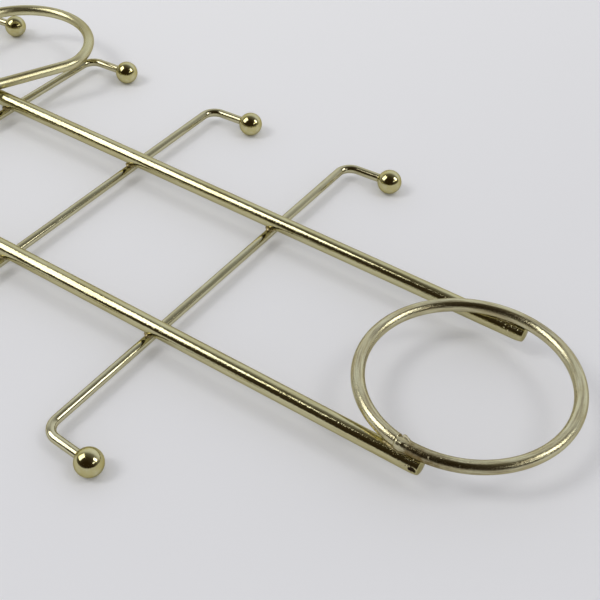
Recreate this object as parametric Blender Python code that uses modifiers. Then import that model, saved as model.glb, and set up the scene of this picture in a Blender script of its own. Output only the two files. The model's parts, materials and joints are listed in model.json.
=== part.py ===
"""Tie and accessory hanger of brass-plated steel wire.

Two rails carry six cross wires, whose ends turn sideways and hold balls.
A ring closes each end, and a folding hook hangs the frame from a closet rod.
The hanger lies on its balls with the hook folded flat towards +Y.
X runs along the rails, the origin is on the surface under the middle of its outline.
"""

import math

import bpy
import bmesh
from mathutils import Matrix

# Driving dimensions, in metres

# Rails
RAIL_SPACING = 0.048
RAIL_DIAMETER = 0.0041
RAIL_END_RUN = 0.0545
RAIL_EDGE = 0.00025

# Cross wires, welded under the rails
WIRE_COUNT = 6
WIRE_PITCH = 0.0468
WIRE_DIAMETER = 0.0023
ARM_REACH = 0.0353
ARM_BEND_RADIUS = 0.0040
TIP_RUN = 0.0136
TIP_SPLAY = math.radians(4)

# Balls on the tips
BALL_DIAMETER = 0.0066
BALL_GRIP = 0.0022

# Rings, welded on the rails' ends
RING_WIRE_DIAMETER = 0.0031
RING_TO_RAIL_END = 0.0023

# Folding hook
HOOK_WIRE_DIAMETER = 0.0031
HOOK_RADIUS = 0.0210
HOOK_REACH = 0.0442
HOOK_HEEL_RADIUS = 0.0100
HOOK_HEEL_START = math.radians(15)
HOOK_MOUTH = math.radians(200)
HOOK_LEAN = math.radians(24)
HOOK_NECK_RUN = 0.0050
HOOK_NECK_RADIUS = 0.0080
HOOK_EYE_SLACK = 0.0005
HOOK_EYE_WRAP = math.radians(330)
HOOK_EYE_START = 0.0031

# Bar that the hook turns on, cut from the rails' wire
BAR_OVERHANG = 0.0025
COLLAR_RISE = 0.0010
COLLAR_WIDTH = 0.0024

# Gaps between touching pieces
SEAT_GAP = 0.0003

# Plating, and the angle past which an edge is sharp
BRASS_COLOUR = (0.66, 0.60, 0.35)
EDGE_ANGLE = math.radians(40)

# Facets
ROUND_STEPS = 24
BALL_STEPS = 16
BALL_ARC_STEPS = 9
RING_STEPS = 48
RING_WIRE_STEPS = 10
BEND_STEPS = 7
HOOK_ARC_STEPS = 30
HEEL_STEPS = 5
EYE_STEPS = 20
COLLAR_STEPS = 6
WIRE_RESOLUTION = 3
WELD_DISTANCE = 0.00005

# Heights and places that follow from the sizes above
rail_radius = RAIL_DIAMETER / 2
wire_radius = WIRE_DIAMETER / 2
ball_radius = BALL_DIAMETER / 2
ring_wire_radius = RING_WIRE_DIAMETER / 2
hook_wire_radius = HOOK_WIRE_DIAMETER / 2

wire_height = ball_radius
rail_height = wire_height + wire_radius + SEAT_GAP + rail_radius
ring_height = rail_height + rail_radius + SEAT_GAP + ring_wire_radius
eye_radius = rail_radius + SEAT_GAP + hook_wire_radius
eye_lead = HOOK_WIRE_DIAMETER + HOOK_EYE_SLACK
eye_advance = eye_lead * HOOK_EYE_WRAP / math.tau

half_spacing = RAIL_SPACING / 2
tip_overhang = TIP_RUN * math.cos(TIP_SPLAY) + ball_radius
arms_length = (WIRE_COUNT - 1) * WIRE_PITCH + wire_radius + tip_overhang
first_wire_x = arms_length / 2 - tip_overhang
rail_half_length = arms_length / 2 + RAIL_END_RUN
ring_x = rail_half_length - RING_TO_RAIL_END
tip_reach = half_spacing + ARM_REACH + TIP_RUN * math.sin(TIP_SPLAY) + ball_radius
hook_top = HOOK_REACH + HOOK_RADIUS + hook_wire_radius
middle_y = (max(hook_top, tip_reach) - tip_reach) / 2


def wire_x(index):
    """Place of a cross wire along the rails, counted from the right end."""
    return first_wire_x - index * WIRE_PITCH


def clear_scene():
    for obj in list(bpy.data.objects):
        bpy.data.objects.remove(obj, do_unlink=True)


def make_collection(name):
    collection = bpy.data.collections.new(name)
    bpy.context.scene.collection.children.link(collection)
    return collection


def plated_metal(name, roughness):
    material = bpy.data.materials.new(name)
    material.use_nodes = True
    shader = material.node_tree.nodes["Principled BSDF"]
    shader.inputs["Base Color"].default_value = (*BRASS_COLOUR, 1.0)
    shader.inputs["Metallic"].default_value = 1.0
    shader.inputs["Roughness"].default_value = roughness
    return material


def place(obj, collection, parent, location, material, turn=(0, 0, 0)):
    """Hang an object under its parent, in the hanger's own collection."""
    for old in list(obj.users_collection):
        old.objects.unlink(obj)
    collection.objects.link(obj)
    obj.parent = parent
    obj.location = location
    obj.rotation_euler = turn
    if not obj.data.materials:
        obj.data.materials.append(material)
    return obj


def arc(centre, radius, start, end, steps):
    """Points on an arc in a plane, both ends included."""
    points = []
    for i in range(steps + 1):
        angle = start + (end - start) * i / steps
        points.append((centre[0] + radius * math.cos(angle), centre[1] + radius * math.sin(angle)))
    return points


def wire_object(name, points, radius):
    """Round wire along a list of points, its ends cut square."""
    curve = bpy.data.curves.new(name, "CURVE")
    curve.dimensions = "3D"
    curve.bevel_depth = radius
    curve.bevel_resolution = WIRE_RESOLUTION
    curve.use_fill_caps = True
    spline = curve.splines.new("POLY")
    spline.points.add(len(points) - 1)
    for point, (x, y, z) in zip(spline.points, points):
        point.co = (x, y, z, 1.0)
    spline.use_smooth = True
    return bpy.data.objects.new(name, curve)


def profile_mesh(name, profile):
    """Open profile in the XZ plane, which runs down the body's outer side."""
    mesh = bpy.data.meshes.new(name)
    outline = bmesh.new()
    verts = [outline.verts.new((r, 0, z)) for r, z in profile]
    for above, below in zip(verts, verts[1:]):
        outline.edges.new((above, below))
    outline.to_mesh(mesh)
    outline.free()
    return mesh


def turned_object(name, mesh, steps):
    """Body turned about Z from its profile."""
    obj = bpy.data.objects.new(name, mesh)
    screw = obj.modifiers.new("turned", "SCREW")
    screw.axis = "Z"
    screw.angle = math.tau
    screw.steps = steps
    screw.render_steps = steps
    screw.use_merge_vertices = True
    screw.merge_threshold = WELD_DISTANCE
    screw.use_smooth_shade = True
    return obj


# Rails: straight thick wire with cropped ends
def make_rail(name):
    mesh = bpy.data.meshes.new(name)
    body = bmesh.new()
    bmesh.ops.create_cone(
        body, cap_ends=True, segments=ROUND_STEPS,
        radius1=rail_radius, radius2=rail_radius, depth=2 * rail_half_length,
        matrix=Matrix.Rotation(math.pi / 2, 4, "Y"),
    )
    body.to_mesh(mesh)
    body.free()
    mesh.shade_smooth()
    mesh.set_sharp_from_angle(angle=EDGE_ANGLE)
    rail = bpy.data.objects.new(name, mesh)
    edge = rail.modifiers.new("cropped edge", "BEVEL")
    edge.width = RAIL_EDGE
    edge.segments = 1
    edge.limit_method = "ANGLE"
    edge.angle_limit = EDGE_ANGLE
    return rail


# Cross wires: one wire across both rails, its ends turned sideways
def cross_wire_points():
    turn = math.pi / 2 - TIP_SPLAY
    tangent = ARM_BEND_RADIUS * math.tan(turn / 2)
    corner_y = half_spacing + ARM_REACH
    bend = arc((ARM_BEND_RADIUS, corner_y - tangent), ARM_BEND_RADIUS, math.pi, math.pi - turn, BEND_STEPS)
    end_run = TIP_RUN - ball_radius + BALL_GRIP
    end = (end_run * math.cos(TIP_SPLAY), corner_y + end_run * math.sin(TIP_SPLAY))
    back_half = bend + [end]
    front_half = [(x, -y) for x, y in reversed(back_half)]
    return [(x, y, 0) for x, y in front_half + back_half]


# Balls: bored for the wire's end
def ball_profile():
    bore = wire_radius + SEAT_GAP
    bore_floor = ball_radius - BALL_GRIP - SEAT_GAP
    mouth = math.acos(bore / ball_radius)
    outer = arc((0, 0), ball_radius, mouth, -math.pi / 2, BALL_ARC_STEPS)
    outer[-1] = (0, -ball_radius)
    return [(0, bore_floor), (bore, bore_floor)] + outer


# Hook: eye round the bar, leaning leg, heel, and a round bow with an open mouth
def hook_points():
    """Centre line of the hook, from the bar's axis, folded flat towards +Y."""
    eye = []
    for i in range(EYE_STEPS):
        angle = HOOK_EYE_WRAP * (1 - i / EYE_STEPS)
        x = HOOK_EYE_START - eye_lead * angle / math.tau
        eye.append((x, -eye_radius * math.sin(angle), eye_radius * math.cos(angle)))

    neck_lean = math.atan2(eye_lead, math.tau * eye_radius)
    neck = (HOOK_EYE_START + HOOK_NECK_RUN * math.tan(neck_lean), HOOK_NECK_RUN)
    bend = HOOK_LEAN - neck_lean
    tangent = HOOK_NECK_RADIUS * math.tan(bend / 2)
    neck_start = (neck[0] - tangent * math.sin(neck_lean), neck[1] - tangent * math.cos(neck_lean))
    neck_centre = (neck_start[0] + HOOK_NECK_RADIUS * math.cos(neck_lean),
                   neck_start[1] - HOOK_NECK_RADIUS * math.sin(neck_lean))
    neck_bend = arc(neck_centre, HOOK_NECK_RADIUS, math.pi - neck_lean, math.pi - HOOK_LEAN, BEND_STEPS // 2)

    inset = HOOK_RADIUS - HOOK_HEEL_RADIUS
    heel_offset = (inset * math.cos(HOOK_HEEL_START), inset * math.sin(HOOK_HEEL_START))
    leg_top = (heel_offset[0] + HOOK_HEEL_RADIUS * math.cos(HOOK_LEAN),
               heel_offset[1] - HOOK_HEEL_RADIUS * math.sin(HOOK_LEAN) + HOOK_REACH)
    bow_x = neck[0] + (leg_top[1] - neck[1]) * math.tan(HOOK_LEAN) - leg_top[0]
    heel_centre = (bow_x + heel_offset[0], HOOK_REACH + heel_offset[1])
    heel = arc(heel_centre, HOOK_HEEL_RADIUS, -HOOK_LEAN, HOOK_HEEL_START, HEEL_STEPS)
    bow = arc((bow_x, HOOK_REACH), HOOK_RADIUS, HOOK_HEEL_START, HOOK_MOUTH, HOOK_ARC_STEPS)

    start = [(HOOK_EYE_START, 0)]
    flat = start + neck_bend + heel + bow[1:]
    return eye + [(x, y, eye_radius) for x, y in flat]


# Bar: short turned rod with a collar on each side of the hook's eye
def bar_profile():
    """Profile about Z, which becomes X when the bar is laid down."""
    eye_high = HOOK_EYE_START + hook_wire_radius
    eye_low = HOOK_EYE_START - eye_advance - hook_wire_radius
    bar_high = wire_x(WIRE_COUNT // 2 - 1) + BAR_OVERHANG
    bar_low = wire_x(WIRE_COUNT // 2) - BAR_OVERHANG
    profile = [(0, bar_high), (rail_radius, bar_high)]
    for middle in (eye_high + SEAT_GAP + COLLAR_WIDTH / 2, eye_low - SEAT_GAP - COLLAR_WIDTH / 2):
        for i in range(COLLAR_STEPS + 1):
            angle = math.pi * i / COLLAR_STEPS
            radius = rail_radius + COLLAR_RISE * math.sin(angle)
            profile.append((radius, middle + COLLAR_WIDTH / 2 * math.cos(angle)))
    return profile + [(rail_radius, bar_low), (0, bar_low)]


def build_frame(collection, frame, rail_metal, wire_metal, ring_metal, bar_metal):
    for name, side in (("rail_front", -1), ("rail_back", 1)):
        place(make_rail(name), collection, frame, (0, side * half_spacing, rail_height), rail_metal)

    for i in range(WIRE_COUNT):
        wire = wire_object(f"cross_wire_{i + 1}", cross_wire_points(), wire_radius)
        place(wire, collection, frame, (wire_x(i), 0, wire_height), wire_metal)

    for name, side in (("end_ring_left", -1), ("end_ring_right", 1)):
        bpy.ops.mesh.primitive_torus_add(
            major_segments=RING_STEPS, minor_segments=RING_WIRE_STEPS,
            major_radius=half_spacing, minor_radius=ring_wire_radius,
        )
        ring = bpy.context.object
        ring.name = name
        ring.data.shade_smooth()
        place(ring, collection, frame, (side * ring_x, 0, ring_height), ring_metal)

    bar = turned_object("hook_bar", profile_mesh("hook_bar", bar_profile()), ROUND_STEPS)
    place(bar, collection, frame, (0, 0, rail_height), bar_metal, turn=(0, math.pi / 2, 0))


def build_balls(collection, frame, ball_metal):
    mesh = profile_mesh("ball", ball_profile())
    for i in range(WIRE_COUNT):
        for name, side in (("front", -1), ("back", 1)):
            ball = turned_object(f"ball_{name}_{i + 1}", mesh, BALL_STEPS)
            x = wire_x(i) + TIP_RUN * math.cos(TIP_SPLAY)
            y = side * (half_spacing + ARM_REACH + TIP_RUN * math.sin(TIP_SPLAY))
            turn = (0, -math.pi / 2, side * TIP_SPLAY)
            place(ball, collection, frame, (x, y, wire_height), ball_metal, turn)


def build_hook(collection, pivot, hook_metal):
    hook = wire_object("closet_hook", hook_points(), hook_wire_radius)
    place(hook, collection, pivot, (0, 0, 0), hook_metal)


def make_empty(name, collection, parent, location):
    empty = bpy.data.objects.new(name, None)
    collection.objects.link(empty)
    empty.parent = parent
    empty.location = location
    return empty


def main():
    clear_scene()
    collection = make_collection("tie_and_accessory_hanger")
    rail_metal = plated_metal("rail_brass_plate", 0.16)
    wire_metal = plated_metal("cross_wire_brass_plate", 0.14)
    ring_metal = plated_metal("ring_brass_plate", 0.14)
    ball_metal = plated_metal("ball_brass_plate", 0.08)
    bar_metal = plated_metal("bar_brass_plate", 0.16)
    hook_metal = plated_metal("hook_brass_plate", 0.14)

    frame = make_empty("frame_centre", collection, None, (0, -middle_y, 0))
    pivot = make_empty("hook_pivot", collection, frame, (0, 0, rail_height))
    build_frame(collection, frame, rail_metal, wire_metal, ring_metal, bar_metal)
    build_balls(collection, frame, ball_metal)
    build_hook(collection, pivot, hook_metal)


main()
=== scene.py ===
import json
import math
import random

import bmesh
import bpy
from mathutils import Matrix, Vector, noise


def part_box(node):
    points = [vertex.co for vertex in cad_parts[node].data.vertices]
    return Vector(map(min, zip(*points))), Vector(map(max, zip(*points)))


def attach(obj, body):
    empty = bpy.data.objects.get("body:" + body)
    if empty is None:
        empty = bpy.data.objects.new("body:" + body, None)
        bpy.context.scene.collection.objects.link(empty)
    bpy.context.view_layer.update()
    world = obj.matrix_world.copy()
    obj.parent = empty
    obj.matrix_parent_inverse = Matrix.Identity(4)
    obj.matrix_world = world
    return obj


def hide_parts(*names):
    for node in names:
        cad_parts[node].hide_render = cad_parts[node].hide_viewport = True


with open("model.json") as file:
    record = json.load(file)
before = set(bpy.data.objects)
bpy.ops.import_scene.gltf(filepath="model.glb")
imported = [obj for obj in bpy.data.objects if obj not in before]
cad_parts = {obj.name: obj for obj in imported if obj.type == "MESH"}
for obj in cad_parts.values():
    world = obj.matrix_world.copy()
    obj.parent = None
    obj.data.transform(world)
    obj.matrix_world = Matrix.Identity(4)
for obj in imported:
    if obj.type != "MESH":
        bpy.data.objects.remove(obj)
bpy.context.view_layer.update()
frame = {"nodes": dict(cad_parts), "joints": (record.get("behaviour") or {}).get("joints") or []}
mm = 0.001
print("frame loaded:", len(frame["nodes"]), "nodes")

xAxis = Vector((1, 0, 0))
yAxis = Vector((0, 1, 0))
zAxis = Vector((0, 0, 1))


# sizes and places that every piece shares; the places are read from the frame

poleMerge = 0.001 * mm    # closes the poles of turned pieces
bareAndShadeMark = 1.4            # heat above 1 marks plate that is gone, and the front rail's chip, painted near-black as shade

stock = dict(             # wire and ball diameters
    rail=4.1 * mm,
    crossWire=2.3 * mm,
    ring=3.1 * mm,
    hook=3.1 * mm,
    ball=6.6 * mm,
    seatGap=0.3 * mm,     # what the welds bridge
)
wireCount = sum(name.startswith("cross_wire_") for name in frame["nodes"])


def middle(node):
    low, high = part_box(node)
    return (low + high) / 2


railHeight = middle("rail_front").z
crossHeight = middle("cross_wire_1").z
ringHeight = middle("end_ring_right").z
centreY = (middle("rail_front").y + middle("rail_back").y) / 2
railOffset = middle("rail_back").y - centreY
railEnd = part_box("rail_front")[1].x
ringX = middle("end_ring_right").x
crossX = [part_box(f"cross_wire_{i + 1}")[0].x + stock["crossWire"] / 2 for i in range(wireCount)]
pivot = Vector(frame["joints"][0]["pos_m"])     # on the bar's axis
pivot.x = 0


# small helpers
# wirePlace keeps each point's place in the unbent wire, for marks that follow the drawing
# weldHeat says how much heat a point took: 0 none, 1 at the weld, bareAndShadeMark where the plate is gone;
# it also carries painted shade, in the ring's pit and in the front rail's chip

def hexColour(text):
    parts = [int(text[i:i + 2], 16) / 255 for i in (1, 3, 5)]
    return [c / 12.92 if c <= 0.04045 else ((c + 0.055) / 1.055) ** 2.4 for c in parts] + [1.0]


def heading(degrees, rise=0.0):
    angle = math.radians(degrees)
    return Vector((math.cos(angle), math.sin(angle), rise)).normalized()


def acrossWire(degrees):
    angle = math.radians(degrees)
    return Vector((0, math.cos(angle), math.sin(angle)))


def vertsOf(geom):
    return [g for g in geom if isinstance(g, bmesh.types.BMVert)]


def edgesOf(geom):
    return [g for g in geom if isinstance(g, bmesh.types.BMEdge)]


def markLayers(bm):
    place = bm.verts.layers.float_vector.new("wirePlace")
    heat = bm.verts.layers.float.new("weldHeat")
    return place, heat


def turnProfile(points, axis, sides):
    bm = bmesh.new()
    verts = [bm.verts.new(point) for point in points]
    edges = [bm.edges.new(pair) for pair in zip(verts, verts[1:])]
    bmesh.ops.spin(
        bm, geom=verts + edges, cent=(0, 0, 0), axis=axis, angle=math.tau,
        steps=sides, use_merge=True, use_duplicate=False,
    )
    bmesh.ops.remove_doubles(bm, verts=bm.verts, dist=poleMerge)
    return bm


def addObject(name, data):
    thing = bpy.data.objects.new(name, data)
    bpy.context.scene.collection.objects.link(thing)
    return thing


def makePiece(name, bm, material, body, replaced=(), sharp=35):
    bmesh.ops.recalc_face_normals(bm, faces=bm.faces)
    mesh = bpy.data.meshes.new(name)
    bm.to_mesh(mesh)
    bm.free()
    mesh.shade_smooth()
    mesh.set_sharp_from_angle(angle=math.radians(sharp))
    mesh.materials.append(material)
    piece = addObject(name, mesh)
    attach(piece, body)
    if replaced:
        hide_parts(*replaced)
    return piece


# wire bending: a round section that is pulled straight, or spun round a former

class Wire:
    def __init__(self, place, direction, radius, sides):
        self.bm = bmesh.new()
        self.place, self.heat = markLayers(self.bm)
        turn = direction.to_track_quat("Z", "Y").to_matrix().to_4x4()
        made = bmesh.ops.create_circle(
            self.bm, cap_ends=False, segments=sides, radius=radius, matrix=Matrix.Translation(place) @ turn,
        )
        back = turn.inverted()
        for v in made["verts"]:
            flat = back @ (v.co - place)
            v[self.place] = (flat.x, flat.y, 0)
        self.verts = made["verts"]
        self.edges = self.bm.edges[:]
        self.first = self.edges[:]
        self.run = 0.0

    def advance(self, verts, edges, length):
        self.run += length
        for v in verts:
            v[self.place].z = self.run
        self.verts = verts
        self.edges = edges

    def straight(self, way, length, grain):
        steps = max(1, round(length / grain))
        for _ in range(steps):
            made = bmesh.ops.extrude_edge_only(self.bm, edges=self.edges)
            verts = vertsOf(made["geom"])
            bmesh.ops.translate(self.bm, verts=verts, vec=way * (length / steps))
            self.advance(verts, edgesOf(made["geom"]), length / steps)

    def bend(self, centre, axis, degrees, radius, steps, rise=Vector()):
        angle = math.radians(degrees)
        for _ in range(steps):
            made = bmesh.ops.spin(
                self.bm, geom=self.verts + self.edges, cent=centre, axis=axis, angle=angle / steps,
                dvec=rise / steps, steps=1, use_merge=False, use_duplicate=False,
            )
            self.advance(vertsOf(made["geom_last"]), edgesOf(made["geom_last"]), radius * abs(angle) / steps)

    def crop(self, burr):
        for edges in (self.first, self.edges):
            face = bmesh.ops.contextual_create(self.bm, geom=edges)["faces"][0]
            bmesh.ops.bevel(
                self.bm, geom=face.edges[:], offset=burr, affect="EDGES",
                segments=3, profile=0.5, material=-1,
            )

    def warm(self, spots, reach):
        for v in self.bm.verts:
            nearest = min((v.co - spot).length for spot in spots)
            v[self.heat] = max(0.0, 1.0 - nearest / reach)


# materials: bright brass plate over drawn steel wire
# the plate copies the wire under it: die lines along it, and a haze and scorch where it was welded

def addNode(tree, kind, links=None, **settings):
    node = tree.nodes.new(kind)
    for key, value in settings.items():
        if hasattr(node, key):
            setattr(node, key, value)
        else:
            node.inputs[key.replace("_", " ")].default_value = value
    for socket, source in (links or {}).items():
        tree.links.new(source, node.inputs[socket])
    return node


def brassPlate(name, look):
    material = bpy.data.materials.new(name)
    material.use_nodes = True
    tree = material.node_tree
    shader = tree.nodes["Principled BSDF"]
    shader.inputs["Metallic"].default_value = 1.0
    shader.inputs["Specular Tint"].default_value = hexColour(look["rim"])

    where = addNode(tree, "ShaderNodeAttribute", attribute_name="wirePlace")
    heat = addNode(tree, "ShaderNodeAttribute", attribute_name="weldHeat")
    spot = addNode(tree, "ShaderNodeTexCoord")

    # cloudy tone of the plating bath, drawn out along the wire
    drawn = addNode(
        tree, "ShaderNodeMapping", {"Vector": where.outputs["Vector"]},
        Scale=(1 / look["cloudSize"], 1 / look["cloudSize"], 1 / look["cloudLength"]),
    )
    cloud = addNode(
        tree, "ShaderNodeTexNoise", {"Vector": drawn.outputs[0]}, Scale=1.0, Detail=4.0, Roughness=0.6,
    )
    cloudy = addNode(
        tree, "ShaderNodeMapRange", {"Value": cloud.outputs["Fac"]},
        From_Min=look["cloudEdges"][0], From_Max=look["cloudEdges"][1],
    )
    tone = addNode(tree, "ShaderNodeMix", {"Factor": cloudy.outputs[0]}, data_type="RGBA")
    tone.inputs["A"].default_value = hexColour(look["plate"])
    tone.inputs["B"].default_value = hexColour(look["plateDeep"])

    # die lines: noise drawn out along the wire, the strong ones hold brown residue
    stretch = addNode(
        tree, "ShaderNodeMapping", {"Vector": where.outputs["Vector"]},
        Scale=(1 / look["lineSpacing"], 1 / look["lineSpacing"], 1 / look["lineLength"]),
    )
    lines = addNode(
        tree, "ShaderNodeTexNoise", {"Vector": stretch.outputs[0]}, Scale=1.0, Detail=3.0, Roughness=0.6,
    )
    residue = addNode(
        tree, "ShaderNodeMapRange", {"Value": lines.outputs["Fac"]},
        From_Min=look["residueEdges"][0], From_Max=look["residueEdges"][1],
        To_Min=0.0, To_Max=look["residue"],
    )
    lined = addNode(
        tree, "ShaderNodeMix", {"Factor": residue.outputs[0], "A": tone.outputs["Result"]}, data_type="RGBA",
    )
    lined.inputs["B"].default_value = hexColour(look["residueColour"])

    # scorch: brownish, broken up, strongest at the weld itself
    soot = addNode(
        tree, "ShaderNodeTexNoise", {"Vector": spot.outputs["Object"]},
        Scale=1 / look["sootSize"], Detail=5.0, Roughness=0.7,
    )
    burnt = addNode(
        tree, "ShaderNodeMath", {0: heat.outputs["Fac"], 1: soot.outputs["Fac"]}, operation="MULTIPLY",
    )
    scorch = addNode(
        tree, "ShaderNodeMapRange", {"Value": burnt.outputs[0]},
        From_Min=look["scorchEdges"][0], From_Max=look["scorchEdges"][1],
        To_Min=0.0, To_Max=look["scorch"],
    )
    colour = addNode(
        tree, "ShaderNodeMix", {"Factor": scorch.outputs[0], "A": lined.outputs["Result"]}, data_type="RGBA",
    )
    colour.inputs["B"].default_value = hexColour(look["scorchColour"])

    # spatter: small pale beads, only where a weld was near
    cells = addNode(
        tree, "ShaderNodeTexVoronoi", {"Vector": spot.outputs["Object"]}, Scale=1 / look["beadSpacing"],
    )
    dome = addNode(
        tree, "ShaderNodeMapRange", {"Value": cells.outputs["Distance"]}, interpolation_type="SMOOTHSTEP",
        From_Min=look["beadSize"], From_Max=0.0, To_Min=0.0, To_Max=1.0,
    )
    nearWeld = addNode(
        tree, "ShaderNodeMapRange", {"Value": heat.outputs["Fac"]},
        From_Min=look["beadEdges"][0], From_Max=look["beadEdges"][1],
    )
    bead = addNode(tree, "ShaderNodeMath", {0: dome.outputs[0], 1: nearWeld.outputs[0]}, operation="MULTIPLY")
    beaded = addNode(
        tree, "ShaderNodeMix", {"Factor": bead.outputs[0], "A": colour.outputs["Result"]}, data_type="RGBA",
    )
    beaded.inputs["B"].default_value = hexColour(look["beadColour"])

    # heat above 1 marks the place where the plate is gone, and on the rails the chip, painted near-black as
    # shade
    bareAndShade = addNode(
        tree, "ShaderNodeMapRange", {"Value": heat.outputs["Fac"]},
        From_Min=look["bareAndShadeEdges"][0], From_Max=look["bareAndShadeEdges"][1],
    )
    strippedAndShaded = addNode(
        tree, "ShaderNodeMix", {"Factor": bareAndShade.outputs[0], "A": beaded.outputs["Result"]}, data_type="RGBA",
    )
    strippedAndShaded.inputs["B"].default_value = hexColour(look["bareAndShadeColour"])
    tree.links.new(strippedAndShaded.outputs["Result"], shader.inputs["Base Color"])

    # sheen: the lines and the clouds vary it, heat dulls it
    rough = addNode(
        tree, "ShaderNodeMapRange", {"Value": lines.outputs["Fac"]},
        From_Min=look["sheenEdges"][0], From_Max=look["sheenEdges"][1],
        To_Min=look["roughness"] * look["sheenShares"][0],
        To_Max=look["roughness"] * look["sheenShares"][1],
    )
    hazy = addNode(
        tree, "ShaderNodeMath", {0: scorch.outputs[0], 2: rough.outputs[0]}, operation="MULTIPLY_ADD",
    )
    hazy.inputs[1].default_value = look["heatHaze"]
    tree.links.new(hazy.outputs[0], shader.inputs["Roughness"])

    # relief: die lines, then the plate's grain, then the weld's own roughness; slopes are rise over size
    skin = addNode(
        tree, "ShaderNodeTexNoise", {"Vector": spot.outputs["Object"]},
        Scale=1 / look["skinSize"], Detail=3.0, Roughness=0.55,
    )
    lineBump = addNode(
        tree, "ShaderNodeBump", {"Height": lines.outputs["Fac"]},
        Strength=1.0, Distance=look["lineSlope"] * look["lineSpacing"],
    )
    skinBump = addNode(
        tree, "ShaderNodeBump", {"Height": skin.outputs["Fac"], "Normal": lineBump.outputs[0]},
        Strength=1.0, Distance=look["skinSlope"] * look["skinSize"],
    )
    weldBump = addNode(
        tree, "ShaderNodeBump", {"Height": burnt.outputs[0], "Normal": skinBump.outputs[0]},
        Strength=1.0, Distance=look["weldSlope"] * look["sootSize"],
    )
    beadBump = addNode(
        tree, "ShaderNodeBump", {"Height": bead.outputs[0], "Normal": weldBump.outputs[0]},
        Strength=1.0, Distance=look["beadRise"],
    )
    tree.links.new(beadBump.outputs[0], shader.inputs["Normal"])
    return material


plateLook = dict(
    plate="#CEC9A1",               # pale greenish brass, as a bright dip leaves it
    plateDeep="#C1B98C",
    rim="#CFC9AE",                 # keeps the edges of the round wire from turning white
    cloudSize=3 * mm,
    cloudLength=16 * mm,
    cloudEdges=(0.35, 0.65),       # edges: the values between which a pattern fades in
    lineSpacing=0.45 * mm,         # real die lines are finer, drawn coarse enough to show
    lineLength=9 * mm,
    lineSlope=0.05,
    residue=0.30,
    residueEdges=(0.48, 0.72),
    residueColour="#8C8150",
    sootSize=0.6 * mm,
    scorch=0.75,
    scorchEdges=(0.10, 0.50),
    scorchColour="#75643C",
    skinSize=0.5 * mm,
    skinSlope=0.06,
    roughness=0.07,
    sheenEdges=(0.3, 0.7),
    sheenShares=(0.75, 1.3),       # of the roughness, between the lines and on them
    heatHaze=0.35,
    weldSlope=0.12,
    beadSpacing=0.9 * mm,
    beadSize=0.30,                 # share of the spacing
    beadEdges=(0.15, 0.35),
    beadRise=0.10 * mm,
    beadColour="#E6DDBE",
    bareAndShadeEdges=(1.05, 1.35),
    bareAndShadeColour="#D2C8A9",          # greyish undercoat, where flash was knocked off
)

# rails and bar, drawn: nearly a mirror, with fine lines along it; the chip in the front rail's end is painted
# near-black, as painted shade in the dent
railPlate = brassPlate("bright brass plate on drawn rail wire", dict(
    # painted shade: on the rails this near-black colour paints the chip's dent
    plateLook, scorch=0.45, beadSize=0.26, bareAndShadeColour="#2A2018",
))
# cross wires, drawn thinner: paler, with closer lines, and brown at the rails
crossPlate = brassPlate("bright brass plate on thin wire", dict(
    plateLook, plate="#CFCBAA", plateDeep="#C2BB98", roughness=0.09, lineSpacing=0.35 * mm,
    skinSlope=0.03, scorch=0.60, scorchColour="#5A4A2A",
))
# rings, rolled: the rolls leave a soft, cloudy sheen and brown lines
ringPlate = brassPlate("satin brass plate on rolled ring wire", dict(
    plateLook, plate="#D6D2B0", plateDeep="#BEB48D", roughness=0.21, skinSlope=0.13, skinSize=0.32 * mm,
    lineSlope=0.10, lineSpacing=0.4 * mm, residue=0.75, residueColour="#80715A",
    cloudSize=1.2 * mm, cloudLength=7 * mm, scorch=0.85, scorchColour="#6A5528", heatHaze=0.05,
    weldSlope=0.05, sootSize=1.0 * mm, beadSize=0.2,
))
# hook, bent cold: an even satin, its highlights wide and soft
hookPlate = brassPlate("satin brass plate on formed hook wire", dict(
    plateLook, plate="#D0CBA4", plateDeep="#BFB68C", roughness=0.29, skinSlope=0.04, lineSlope=0.01,
    residue=0.15,
))
# balls, tumbled: smooth and bright without lines, a little yellower
ballPlate = brassPlate("tumbled brass plate on steel ball", dict(
    plateLook, plateDeep="#C0B67C", roughness=0.12, skinSlope=0.02, lineSlope=0.0, residue=0.0,
    cloudLength=3 * mm, scorch=0.6,
))
# welds, left as they froze: rough, dull and browner
weldPlate = brassPlate("brass plate over weld flash", dict(
    plateLook, plate="#C6BA90", plateDeep="#A89A6C", roughness=0.24, skinSlope=0.22, skinSize=0.35 * mm,
    lineSlope=0.0, residue=0.0, scorch=0.7,
))
print("materials made")


# rails: thick straight wire, sheared square at both ends
rail = dict(
    sides=56, grain=0.75 * mm, burr=0.18 * mm,
    endRun=4 * mm, endGrain=0.2 * mm,           # the ends have a finer mesh, for the shear and the chip
    weldReach=3.2 * mm, ringReach=9 * mm,
    ringHeat={-1: 0.40, 1: 0.50},               # front and back: the back rail was welded hotter
    lowCool=2,                                  # times that a distance below the middle counts
    shearReach=2.2 * mm, shearDrag=0.28 * mm,
    shearSide=-125.0,                           # the side that the blade came from
    chipBack=1.15 * mm,                         # from the sheared end, on the front rail alone
    chipSide=169.0, chipLength=1.0 * mm, chipWidth=0.62 * mm, chipDepth=0.20 * mm,
)


def chipRail(wire, y):
    out = acrossWire(rail["chipSide"])
    chip = Vector((railEnd - rail["chipBack"], y, railHeight)) + out * stock["rail"] / 2
    for v in wire.bm.verts:
        away = v.co - chip
        along = away.x / rail["chipLength"]
        ratio = math.hypot(along, away.y / rail["chipWidth"], away.z / rail["chipWidth"])
        if ratio < 1:
            v.co -= out * rail["chipDepth"] * (1 - ratio * ratio)
            # painted shade: the dent is painted near-black through the rails' bare colour
            v[wire.heat] = bareAndShadeMark


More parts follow.
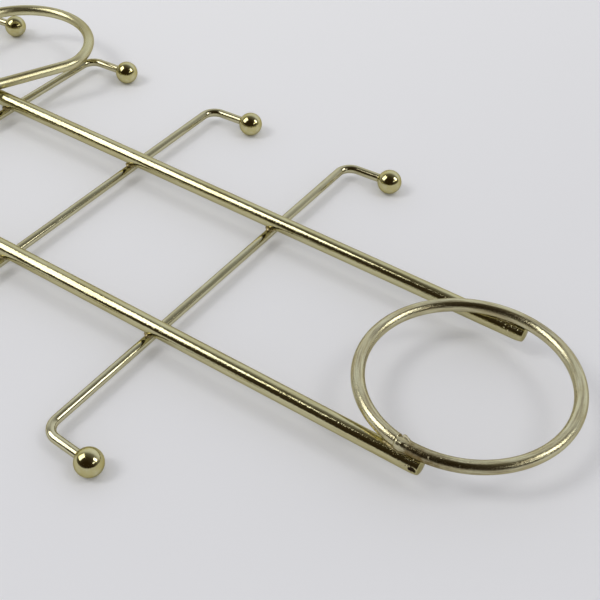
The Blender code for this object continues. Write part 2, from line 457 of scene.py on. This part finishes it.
def makeRail(name, side):
    y = centreY + side * railOffset
    radius = stock["rail"] / 2
    wire = Wire(Vector((-railEnd, y, railHeight)), xAxis, radius, rail["sides"])
    wire.straight(xAxis, rail["endRun"], rail["endGrain"])
    wire.straight(xAxis, 2 * (railEnd - rail["endRun"]), rail["grain"])
    wire.straight(xAxis, rail["endRun"], rail["endGrain"])
    wire.crop(rail["burr"])
    # the blade drags the end's rim in on the side that it came from
    blade = acrossWire(rail["shearSide"])
    for v in wire.bm.verts:
        flat = Vector((0, v.co.y - y, v.co.z - railHeight))
        nearEnd = max(0.0, 1 - (railEnd - abs(v.co.x)) / rail["shearReach"])
        facing = max(0.0, flat.normalized().dot(blade))
        v.co -= flat * facing ** 2 * nearEnd ** 2 * rail["shearDrag"] / radius
    wire.warm([Vector((x, y, railHeight - radius)) for x in crossX], rail["weldReach"])
    for v in wire.bm.verts:
        for ringSide in (-1, 1):
            distance = abs(v.co.x - ringSide * ringX) + max(0.0, railHeight - v.co.z) * rail["lowCool"]
            v[wire.heat] = max(v[wire.heat], rail["ringHeat"][side] * (1 - distance / rail["ringReach"]))
    if side < 0:
        chipRail(wire, y)
    return makePiece(name.replace("rail", "drawn_rail"), wire.bm, railPlate, "frame", [name])


makeRail("rail_front", -1)
makeRail("rail_back", 1)
print("rails made")


# cross wires: one wire under both rails, its ends turned sideways
cross = dict(
    sides=40, grain=1.0 * mm, burr=0.1 * mm,
    bendRadius=4.0 * mm, bendSteps=22, weldReach=2.6 * mm,
    splay=4.0,                # degrees by which the tips lean away from the rails' direction
    tipInBall=2.4 * mm,
)
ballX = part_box("ball_back_1")[1].x - stock["ball"] / 2
ballY = middle("ball_back_1").y
tipRun = (ballX - crossX[0]) / math.cos(math.radians(cross["splay"]))
cornerY = ballY - centreY - tipRun * math.sin(math.radians(cross["splay"]))


def makeCrossWire(index):
    x = crossX[index]
    turn = 90 - cross["splay"]
    tangent = cross["bendRadius"] * math.tan(math.radians(turn / 2))
    run = tipRun - stock["ball"] / 2 + cross["tipInBall"]
    corner = Vector((x, centreY - cornerY, crossHeight))
    tip = heading(-cross["splay"])
    former = Vector((x + cross["bendRadius"], centreY - cornerY + tangent, crossHeight))
    farFormer = Vector((former.x, centreY + cornerY - tangent, crossHeight))

    wire = Wire(corner + tip * run, -tip, stock["crossWire"] / 2, cross["sides"])
    wire.straight(-tip, run - tangent, cross["grain"])
    wire.bend(former, -zAxis, turn, cross["bendRadius"], cross["bendSteps"])
    wire.straight(yAxis, 2 * (cornerY - tangent), cross["grain"])
    wire.bend(farFormer, -zAxis, turn, cross["bendRadius"], cross["bendSteps"])
    wire.straight(heading(cross["splay"]), run - tangent, cross["grain"])
    wire.crop(cross["burr"])
    top = crossHeight + stock["crossWire"] / 2
    wire.warm([Vector((x, centreY + side * railOffset, top)) for side in (-1, 1)], cross["weldReach"])
    name = f"cross_wire_{index + 1}"
    return makePiece(f"bent_{name}", wire.bm, crossPlate, "frame", [name])


for i in range(wireCount):
    makeCrossWire(i)
print("cross wires made")


# balls: a turned ball with a small upset neck where the wire goes in
ball = dict(
    sides=64, rows=40, neckRise=0.28 * mm, neckSteps=6,
    heatShare=1.3, heatReach=0.6 * mm,          # heat reaches this many wire radii, and this much past them
)


def makeBall(node, index, side):
    centre = Vector((crossX[index] + ballX - crossX[0], centreY + side * (ballY - centreY), crossHeight))
    radius = (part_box(node)[1].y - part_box(node)[0].y) / 2
    wireRadius = stock["crossWire"] / 2
    mouth = math.asin((wireRadius + ball["neckRise"]) / radius)
    neckFoot = Vector((radius * math.sin(mouth), 0, radius * math.cos(mouth)))
    profile = [Vector((0, 0, neckFoot.z + ball["neckRise"]))]
    for i in range(ball["neckSteps"] + 1):
        angle = math.radians(90) * i / ball["neckSteps"]
        profile.append(neckFoot + ball["neckRise"] * Vector((-math.cos(angle), 0, 1 - math.sin(angle))))
    for i in range(1, ball["rows"] + 1):
        angle = mouth + (math.pi - mouth) * i / ball["rows"]
        profile.append(Vector((radius * math.sin(angle), 0, radius * math.cos(angle))))
    profile[-1].x = 0
    bm = turnProfile(profile, zAxis, ball["sides"])
    place, heat = markLayers(bm)
    heatReach = ball["heatShare"] * wireRadius + ball["heatReach"]
    for v in bm.verts:
        v[place] = v.co
        v[heat] = max(0.0, 1 - (v.co - Vector((0, 0, neckFoot.z))).length / heatReach)
    back = heading(180 + side * cross["splay"]).to_track_quat("Z", "Y").to_matrix().to_4x4()
    bmesh.ops.transform(bm, matrix=Matrix.Translation(centre) @ back, verts=bm.verts)
    return makePiece(f"turned_{node}", bm, ballPlate, "frame", [node])


for i in range(wireCount):
    makeBall(f"ball_front_{i + 1}", i, -1)
    makeBall(f"ball_back_{i + 1}", i, 1)
print("balls made")


# rings: rolled wire, butt-welded over the front rail
# off values are distances along the wire from the seam, to the right of it as the camera sees it
ring = dict(
    sides=44, steps=260, merge=0.01 * mm,
    seamAngle=-97.0, seamWidth=16.0, seamSteps=110,       # a finer mesh round the seam, in degrees
    seamSide=0.5,                                         # cosine of the angle that the seam's marks reach
    burr=dict(off=0.05 * mm, width=0.85 * mm, rise=0.20 * mm),      # raised all round
    crack=dict(off=-0.95 * mm, width=0.14 * mm, rise=0.12 * mm),    # sunk all round
    flash=dict(off=0.10 * mm, width=1.1 * mm, rise=0.60 * mm),      # the nub inside the ring
    notch=dict(off=-0.75 * mm, width=0.28 * mm, rise=0.75 * mm),    # the pit in the nub
    innerShift=0.3, innerEdge=0.45,                       # how far round the inner side the nub reaches
    roughShares=(0.7, 0.6), roughSize=0.9 * mm,           # even and uneven share of burr and nub
    mismatch=0.18 * mm, mismatchLift=0.6,                 # by which the two ends miss each other
    mismatchFade=3.5 * mm, stepWidth=0.12 * mm,
    # pitPaintedShade is painted shade: the pit in the nub takes full heat, so the scorch colour paints it
    # dark
    bareWidth=1.5 * mm, pitWidth=0.36 * mm, pitPaintedShade=1.0,
    weldReach=5 * mm, weldHeat=0.15,
    seamHeat=1.0, heatOff=2.6 * mm, coolBefore=2.6 * mm, coolAfter=21 * mm, innerScorchShare=0.30,
    lumpSize=0.9 * mm, lumpRise=0.025 * mm, lumpSink=0.5,
)


def bump(off, shape):
    return shape["rise"] * math.exp(-((off - shape["off"]) / shape["width"]) ** 4)


def seamShift(off, out, around, inner, rough):
    burr = bump(off, ring["burr"]) * rough - bump(off, ring["crack"])
    flash = bump(off, ring["flash"]) * rough - bump(off, ring["notch"])
    fade = math.exp(-abs(off) / ring["mismatchFade"])
    step = math.tanh((off - ring["crack"]["off"]) / ring["stepWidth"]) * fade
    missed = (around + zAxis * ring["mismatchLift"]) * step * ring["mismatch"] / 2
    return out * burr - around * flash * inner + missed


def seamWarmthAndShade(off, out, around, inner):
    # painted shade: the pit in the nub is painted dark through the scorch colour; the rest of the nub is bare
    # plate
    if inner > ring["innerEdge"] and abs(off - ring["notch"]["off"]) < ring["pitWidth"]:
        return ring["pitPaintedShade"]
    if inner > ring["innerEdge"] and abs(off - ring["flash"]["off"]) < ring["bareWidth"]:
        return bareAndShadeMark
    late = off - ring["heatOff"]
    cooled = late / ring["coolAfter"] if late > 0 else -late / ring["coolBefore"]
    outerSide = 0.5 + 0.5 * out.dot(around)      # 1 outside the ring, 0 inside: the ring is browner on its outer side
    return ring["seamHeat"] * (1 - cooled) * (ring["innerScorchShare"] + (1 - ring["innerScorchShare"]) * outerSide)


def makeRing(name, side):
    centre = Vector((side * ringX, centreY, ringHeight))
    radius = railOffset
    start = heading(ring["seamAngle"] - ring["seamWidth"] / 2)
    wire = Wire(centre + start * radius, zAxis.cross(start), stock["ring"] / 2, ring["sides"])
    wire.bend(centre, zAxis, ring["seamWidth"], radius, ring["seamSteps"])
    wire.bend(centre, zAxis, 360 - ring["seamWidth"], radius, ring["steps"])
    bmesh.ops.remove_doubles(wire.bm, verts=wire.bm.verts, dist=ring["merge"])
    onRails = [centre + heading(angle) * radius - zAxis * stock["ring"] / 2 for angle in (-90, 90)]
    wire.warm(onRails, ring["weldReach"])
    seam = heading(ring["seamAngle"])
    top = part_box(name)[1].z
    for v in wire.bm.verts:
        v[wire.heat] *= ring["weldHeat"]
        flat = v.co - centre
        around = Vector((flat.x, flat.y, 0)).normalized()
        off = seam.cross(around).z * radius          # arc length from the seam, signed
        core = centre + around * radius
        out = (v.co - core).normalized()
        if around.dot(seam) > ring["seamSide"]:
            even, uneven = ring["roughShares"]
            rough = even + uneven * noise.noise(v.co / ring["roughSize"])
            inner = min(1.0, max(0.0, ring["innerShift"] - out.dot(around)))
            v.co += seamShift(off, out, around, inner, rough)
            v[wire.heat] = max(v[wire.heat], seamWarmthAndShade(off, out, around, inner))
        lump = (noise.noise(v.co / ring["lumpSize"]) - ring["lumpSink"]) * v[wire.heat]
        v.co += out * lump * ring["lumpRise"]
        v.co.z = min(v.co.z, top)
    return makePiece(f"rolled_{name}", wire.bm, ringPlate, "frame", [name])


makeRing("end_ring_right", 1)
makeRing("end_ring_left", -1)
print("rings made")


# hook bar: same stock as the rails, with two upset collars that hold the hook's eye in place
bar = dict(
    sides=48, collarRise=1.0 * mm, collarWidth=2.4 * mm, collarRows=12, burr=0.2 * mm,
    overhang=2.5 * mm,        # past the cross wires that carry it
    heatReach=6 * mm,
)
hook = dict(
    sides=44, grain=1.5 * mm, burr=0.22 * mm,
    eyeSteps=90, eyeWrap=330.0, eyeStart=3.1 * mm, eyeSlack=0.5 * mm,
    neckSteps=6, neckRun=5.0 * mm, neckRadius=8.0 * mm,
    lean=24.0,                # degrees by which the leg leans towards +X
    heelSteps=24, heelRadius=10.0 * mm,
    bowSteps=150, bowRadius=21.0 * mm,
    heelEnd=15.0, mouth=200.0,      # where the bow starts and ends, in degrees round its middle
    reach=44.12 * mm,         # from the bar's axis to the bow's middle
)
eyeLead = stock["hook"] + hook["eyeSlack"]
eyeRadius = (stock["rail"] + stock["hook"]) / 2 + stock["seatGap"]


def makeHookBar():
    radius = stock["rail"] / 2
    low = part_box("hook_bar")[0].x
    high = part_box("hook_bar")[1].x
    eyeHigh = hook["eyeStart"] + stock["hook"] / 2
    eyeLow = hook["eyeStart"] - eyeLead * hook["eyeWrap"] / 360 - stock["hook"] / 2
    gap = stock["seatGap"] + bar["collarWidth"] / 2
    profile = [(0, low), (radius - bar["burr"], low), (radius, low + bar["burr"])]
    for centre in (eyeLow - gap, eyeHigh + gap):
        for i in range(bar["collarRows"] + 1):
            angle = math.pi * (1 - i / bar["collarRows"])
            rise = bar["collarRise"] * math.sin(angle)
            profile.append((radius + rise, centre + bar["collarWidth"] / 2 * math.cos(angle)))
    profile += [(radius, high - bar["burr"]), (radius - bar["burr"], high), (0, high)]
    bm = turnProfile([(x, 0, r) for r, x in profile], xAxis, bar["sides"])
    place, heat = markLayers(bm)
    for v in bm.verts:
        v[place] = (v.co.y, v.co.z, v.co.x)
        v[heat] = max(0.0, 1 - min(abs(v.co.x - low), abs(v.co.x - high)) / bar["heatReach"])
    bmesh.ops.translate(bm, verts=bm.verts, vec=pivot)
    return makePiece("turned_hook_bar", bm, railPlate, "frame", ["hook_bar"])


# hook: eye round the bar, leaning leg, heel, round bow
def makeHook():
    wrap = math.radians(hook["eyeWrap"])
    lead = eyeLead / math.tau
    across = eyeRadius * math.sin(wrap)
    up = eyeRadius * math.cos(wrap)
    start = Vector((hook["eyeStart"] - lead * wrap, -across, up))
    way = Vector((lead, up, across)).normalized()
    wire = Wire(pivot + start, way, stock["hook"] / 2, hook["sides"])
    wire.bend(pivot, -xAxis, hook["eyeWrap"], eyeRadius, hook["eyeSteps"], rise=xAxis * lead * wrap)

    eyeLean = math.degrees(math.atan2(lead, eyeRadius))
    neckTurn = hook["lean"] - eyeLean
    tangent = hook["neckRadius"] * math.tan(math.radians(neckTurn / 2))
    leave = heading(90 - eyeLean)
    leg = heading(90 - hook["lean"])
    top = pivot + Vector((hook["eyeStart"], 0, eyeRadius))
    neck = top + leave * hook["neckRun"] / math.cos(math.radians(eyeLean))
    wire.straight(leave, (neck - top).length - tangent, hook["grain"])
    former = neck - leave * tangent + leave.cross(zAxis) * hook["neckRadius"]
    wire.bend(former, -zAxis, neckTurn, hook["neckRadius"], hook["neckSteps"])

    heelPlace = (hook["bowRadius"] - hook["heelRadius"]) * heading(hook["heelEnd"])
    heelFoot = heelPlace + hook["heelRadius"] * heading(-hook["lean"])   # where the leg meets the heel
    legRise = hook["reach"] + heelFoot.y - (neck - pivot).y
    legLength = legRise / math.cos(math.radians(hook["lean"]))
    wire.straight(leg, legLength - tangent, hook["grain"])
    bowCentre = neck + leg * legLength - heelFoot
    heelTurn = hook["lean"] + hook["heelEnd"]
    wire.bend(bowCentre + heelPlace, zAxis, heelTurn, hook["heelRadius"], hook["heelSteps"])
    wire.bend(bowCentre, zAxis, hook["mouth"] - hook["heelEnd"], hook["bowRadius"], hook["bowSteps"])
    wire.crop(hook["burr"])
    return makePiece("formed_closet_hook", wire.bm, hookPlate, "hook", ["closet_hook"])


makeHookBar()
hookOnly = bpy.data.collections.new("hook only")     # what the strip light shines on
hookOnly.objects.link(makeHook())
print("hook and bar made")


# welds: squeezed-out flash between the wires that touch, and a few specks of spatter
weld = dict(
    crossSize=Vector((1.35, 1.95, 0.72)) * mm,            # half sizes of a nugget
    ringSize=Vector((3.6, 0.95, 0.50)) * mm, ringBack=3.4 * mm,
    nuggetDetail=4, roughness=0.16, grain=0.9 * mm, heat=0.55,
    specks=14, speckDetail=2, speckSize=(0.06 * mm, 0.15 * mm), speckSeed=7,
    speckAcross=0.75,                                     # radians to each side of the rail's top
    speckSpread=7 * mm, speckSpreadShare=0.45, speckBack=4 * mm,
)


def addNugget(bm, centre, size):
    shape = Matrix.Translation(centre) @ Matrix.Diagonal(size.to_4d())
    made = bmesh.ops.create_icosphere(bm, subdivisions=weld["nuggetDetail"], radius=1.0, matrix=shape)
    for v in made["verts"]:
        out = v.co - centre
        v.co += out * weld["roughness"] * noise.noise(v.co / weld["grain"])


def finishWelds(name, bm):
    place, heat = markLayers(bm)
    for v in bm.verts:
        v[place] = v.co
        v[heat] = weld["heat"]
    return makePiece(name, bm, weldPlate, "frame", sharp=180)


def makeCrossWelds():
    bm = bmesh.new()
    seat = crossHeight + stock["crossWire"] / 2 + stock["seatGap"] / 2
    for x in crossX:
        for side in (-1, 1):
            addNugget(bm, Vector((x, centreY + side * railOffset, seat)), weld["crossSize"])
    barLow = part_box("hook_bar")[0].x + bar["overhang"]
    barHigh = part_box("hook_bar")[1].x - bar["overhang"]
    for x in (barLow, barHigh):
        addNugget(bm, Vector((x, centreY, seat)), weld["crossSize"])
    return finishWelds("cross_welds", bm)


def makeRingWelds():
    bm = bmesh.new()
    dice = random.Random(weld["speckSeed"])
    radius = stock["rail"] / 2
    seat = railHeight + radius + stock["seatGap"] / 2
    for end in (-1, 1):
        for side in (-1, 1):
            centre = Vector((end * ringX, centreY + side * railOffset, seat))
            addNugget(bm, centre - xAxis * end * weld["ringBack"], weld["ringSize"])
            for _ in range(weld["specks"]):
                across = dice.uniform(-weld["speckAcross"], weld["speckAcross"])
                along = dice.gauss(0, weld["speckSpreadShare"]) * weld["speckSpread"]
                size = dice.uniform(*weld["speckSize"])
                spot = Matrix.Translation((
                    min(ringX - weld["speckBack"] + along, railEnd - size) * end,
                    centre.y + radius * math.sin(across),
                    railHeight + radius * math.cos(across),
                ))
                bmesh.ops.create_icosphere(bm, subdivisions=weld["speckDetail"], radius=size, matrix=spot)
    return finishWelds("ring_welds", bm)


makeCrossWelds()
makeRingWelds()
print("welds made")


# floor: pale matt sheet, larger than any view; its colour holds painted shade where the light falls off
floorLook = dict(
    radius=40.0, sides=96, roughness=0.6, specular=0.2,
    colour="#FCFCFD", cloudSize=0.35, cloudShare=0.06,
    shade="#F0F0F2",                                      # painted shade: greyer at the near right, where the light falls off
    shadeSide=150.0, shadeEnd=-0.19, shadeStart=0.10,     # compass way, and metres from the middle
)


def makeFloor():
    bm = bmesh.new()
    bmesh.ops.create_circle(bm, cap_ends=True, segments=floorLook["sides"], radius=floorLook["radius"])
    mesh = bpy.data.meshes.new("floor")
    bm.to_mesh(mesh)
    bm.free()
    floor = addObject("floor", mesh)
    material = bpy.data.materials.new("matt white board")
    material.use_nodes = True
    tree = material.node_tree
    shader = tree.nodes["Principled BSDF"]
    spot = addNode(tree, "ShaderNodeTexCoord")
    cloud = addNode(
        tree, "ShaderNodeTexNoise", {"Vector": spot.outputs["Object"]},
        Scale=1 / floorLook["cloudSize"], Detail=2.0,
    )
    # painted shade: the board's colour greys towards the near right, where the light falls off
    along = addNode(tree, "ShaderNodeVectorMath", {0: spot.outputs["Object"]}, operation="DOT_PRODUCT")
    along.inputs[1].default_value = heading(floorLook["shadeSide"])
    pale = addNode(
        tree, "ShaderNodeMapRange", {"Value": along.outputs["Value"]}, interpolation_type="SMOOTHSTEP",
        From_Min=floorLook["shadeEnd"], From_Max=floorLook["shadeStart"],
    )
    clouded = addNode(
        tree, "ShaderNodeMath", {0: cloud.outputs["Fac"], 2: pale.outputs[0]}, operation="MULTIPLY_ADD",
    )
    clouded.inputs[1].default_value = -floorLook["cloudShare"]
    tone = addNode(tree, "ShaderNodeMix", {"Factor": clouded.outputs[0]}, data_type="RGBA")
    tone.inputs["A"].default_value = hexColour(floorLook["shade"])
    tone.inputs["B"].default_value = hexColour(floorLook["colour"])
    tree.links.new(tone.outputs["Result"], shader.inputs["Base Color"])
    shader.inputs["Roughness"].default_value = floorLook["roughness"]
    shader.inputs["Specular IOR Level"].default_value = floorLook["specular"]
    mesh.materials.append(material)


# light: two soft boxes, a dimmer window, a strip, a pale sweep beyond the object, a dim room behind
# compass counts from +X, height from the floor, turn about the middle, in degrees; sizes are in metres
# a face is the cloth that the metal mirrors, a core the far bulb that throws the shadows
# legFace is a tall strip that only the hook mirrors, because its leg is the one wire that faces it
softBoxes = dict(
    leftFace=dict(
        compass=-144.0, height=48.9, turn=13.0, distance=0.606, width=0.38, depth=0.48, radiance=3.1),
    rightFace=dict(
        compass=23.4, height=35.6, turn=2.0, distance=1.65, width=0.47, depth=0.76, radiance=4.3),
    windowFace=dict(
        compass=-3.5, height=30.5, turn=0.0, distance=2.00, width=0.70, depth=0.20, radiance=2.4),
    legFace=dict(
        compass=-8.0, height=38.0, turn=0.0, distance=2.00, width=0.36, depth=1.90, radiance=3.2),
    leftCore=dict(
        compass=-128.0, height=54.0, turn=0.0, distance=2.40, width=0.66, depth=0.76, radiance=6.2),
    rightCore=dict(
        compass=20.2, height=55.9, turn=0.0, distance=3.00, width=0.89, depth=1.06, radiance=2.7),
)
room = dict(
    sweepCompass=113.7, sweepHeight=-20.8,      # the way to the middle of the pale sweep
    tones=(                                     # tone by how squarely a direction faces the sweep
        (-0.90, "#302616"), (-0.50, "#40382A"), (-0.30, "#5C574B"), (0.00, "#73716A"),
        (0.12, "#91918F"), (0.20, "#AFB0B2"), (0.30, "#D3D5DA"), (0.55, "#E8EBF1"),
    ),
    horizon="#DCDEE3", bandFull=0.02, bandEnd=0.12,
    backdrop="#BEBEC0",
    fill="#C8C8CA",                             # even light of the room, on the floor and in the shadows
    strength=1.0,
)


def makeLights():
    for name, box in softBoxes.items():
        data = bpy.data.lights.new(f"soft box {name}", "AREA")
        data.shape = "RECTANGLE"
        data.size = box["width"]
        data.size_y = box["depth"]
        data.energy = box["radiance"] * math.pi * box["width"] * box["depth"]
        lamp = addObject(data.name, data)
        out = heading(box["compass"], math.tan(math.radians(box["height"])))
        level = zAxis.cross(out).normalized()
        facing = Matrix((level, out.cross(level), out)).transposed().to_4x4()
        spin = Matrix.Rotation(math.radians(box["turn"]), 4, out)
        lamp.matrix_world = Matrix.Translation(out * box["distance"]) @ spin @ facing
        lamp.visible_camera = False
        lamp.visible_glossy = name.endswith("Face")
        lamp.visible_diffuse = name.endswith("Core")
        if name == "legFace":
            lamp.light_linking.receiver_collection = hookOnly


def makeRoom():
    world = bpy.data.worlds.new("studio")
    bpy.context.scene.world = world
    world.use_nodes = True
    tree = world.node_tree
    back = tree.nodes["Background"]
    way = addNode(tree, "ShaderNodeTexCoord")
    toSweep = heading(room["sweepCompass"], math.tan(math.radians(room["sweepHeight"])))
    facing = addNode(tree, "ShaderNodeVectorMath", {0: way.outputs["Generated"]}, operation="DOT_PRODUCT")
    facing.inputs[1].default_value = toSweep
    share = addNode(
        tree, "ShaderNodeMapRange", {"Value": facing.outputs["Value"]}, From_Min=-1.0, From_Max=1.0,
    )
    sweep = addNode(tree, "ShaderNodeValToRGB", {"Fac": share.outputs[0]})
    ramp = sweep.color_ramp
    ramp.interpolation = "EASE"
    while len(ramp.elements) < len(room["tones"]):
        ramp.elements.new(0.5)
    for stop, (squareness, colour) in zip(ramp.elements, room["tones"]):
        stop.position = (squareness + 1) / 2
        stop.color = hexColour(colour)
    split = addNode(tree, "ShaderNodeSeparateXYZ", {"Vector": way.outputs["Generated"]})
    band = addNode(
        tree, "ShaderNodeMapRange", {"Value": split.outputs["Z"]}, interpolation_type="SMOOTHSTEP",
        From_Min=room["bandFull"], From_Max=room["bandEnd"], To_Min=1.0, To_Max=0.0,
    )
    tone = addNode(
        tree, "ShaderNodeMix", {"Factor": band.outputs[0], "A": sweep.outputs["Color"]}, data_type="RGBA",
    )
    tone.inputs["B"].default_value = hexColour(room["horizon"])
    # the reflections see the room, the camera a plain backdrop, all else the even light
    path = addNode(tree, "ShaderNodeLightPath")
    mirrored = addNode(
        tree, "ShaderNodeMix", {"Factor": path.outputs["Is Glossy Ray"], "B": tone.outputs["Result"]},
        data_type="RGBA",
    )
    mirrored.inputs["A"].default_value = hexColour(room["fill"])
    both = addNode(
        tree, "ShaderNodeMix", {"Factor": path.outputs["Is Camera Ray"], "A": mirrored.outputs["Result"]},
        data_type="RGBA",
    )
    both.inputs["B"].default_value = hexColour(room["backdrop"])
    tree.links.new(both.outputs["Result"], back.inputs["Color"])
    world.cycles.sampling_method = "NONE"     # an even room needs no map of its bright spots
    back.inputs["Strength"].default_value = room["strength"]


# camera: where the photograph was taken from
view = dict(
    place=Vector((239.4, -163.2, 187.7)) * mm,    # from the middle of the rails
    compass=122.83, down=42.40, roll=-2.23,       # degrees
    focal=1137.3, frame=600,                      # pixels of the photograph
    sensor=36.0, nearest=0.01,                    # millimetres, and metres
)


def makeCamera():
    data = bpy.data.cameras.new("camera")
    data.sensor_width = view["sensor"]
    data.lens = view["focal"] / view["frame"] * view["sensor"]
    data.clip_start = view["nearest"]
    camera = addObject("camera", data)
    look = heading(view["compass"], -math.tan(math.radians(view["down"])))
    level = look.to_track_quat("-Z", "Y")
    roll = Matrix.Rotation(math.radians(view["roll"]), 4, look)
    place = Matrix.Translation(view["place"] + yAxis * centreY)
    camera.matrix_world = place @ roll @ level.to_matrix().to_4x4()
    bpy.context.scene.camera = camera


makeFloor()
makeLights()
makeRoom()
makeCamera()
bpy.context.scene.view_settings.view_transform = "Standard"
print("stage, light and camera made")
